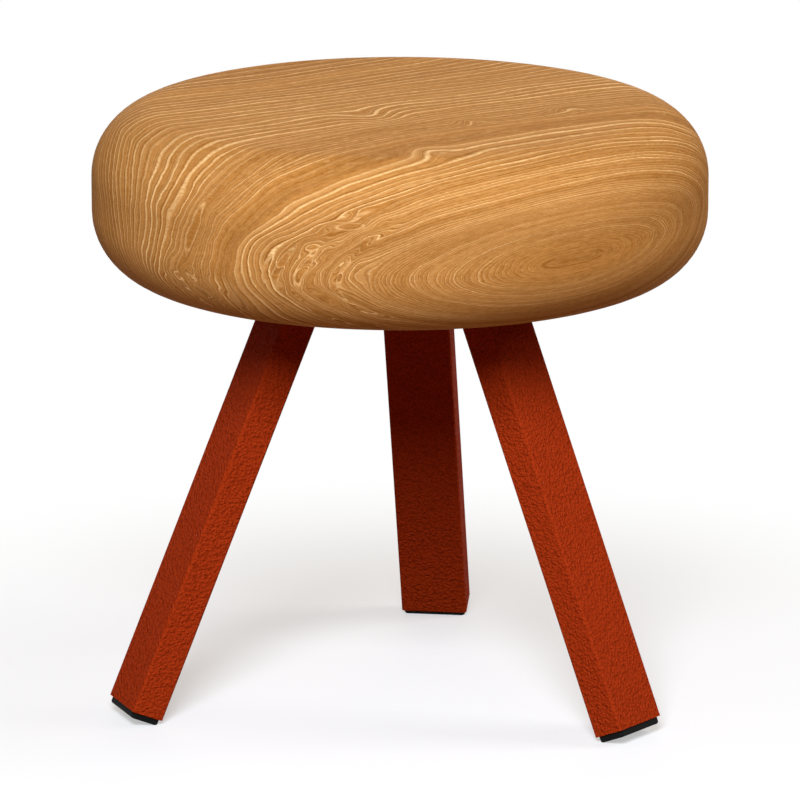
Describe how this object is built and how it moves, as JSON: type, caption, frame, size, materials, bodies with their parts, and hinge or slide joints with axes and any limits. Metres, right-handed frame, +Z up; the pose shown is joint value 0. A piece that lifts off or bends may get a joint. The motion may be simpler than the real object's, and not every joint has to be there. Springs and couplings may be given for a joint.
{
  "type": "stool",
  "caption": "Low round stool: a thick solid-wood seat with large rounded edges on splayed legs of painted rectangular steel tube that end in plastic foot plugs.",
  "frame": {"origin": "on the floor under the middle of the seat", "axes": "+Z up, +Y towards the back leg, +X to the right as seen from the front"},
  "size_m": [0.3599, 0.36, 0.353],
  "materials": {
    "elm_seat": "turned, sanded and oiled",
    "leg_paint": "textured powder coat",
    "foot_plastic": "moulded",
    "screw_steel": "zinc plated",
    "insert_brass": "turned"
  },
  "bodies": {
    "root": {"seat": "elm_seat", "back_leg_tube": "leg_paint", "back_leg_plate": "leg_paint", "back_leg_weld": "leg_paint", "back_foot_plug": "foot_plastic", "back_leg_screws": "screw_steel", "back_leg_washers": "screw_steel", "back_seat_inserts": "insert_brass", "left_leg_tube": "leg_paint", "left_leg_plate": "leg_paint", "left_leg_weld": "leg_paint", "left_foot_plug": "foot_plastic", "left_leg_screws": "screw_steel", "left_leg_washers": "screw_steel", "left_seat_inserts": "insert_brass", "right_leg_tube": "leg_paint", "right_leg_plate": "leg_paint", "right_leg_weld": "leg_paint", "right_foot_plug": "foot_plastic", "right_leg_screws": "screw_steel", "right_leg_washers": "screw_steel", "right_seat_inserts": "insert_brass"}
  },
  "joints": []
}
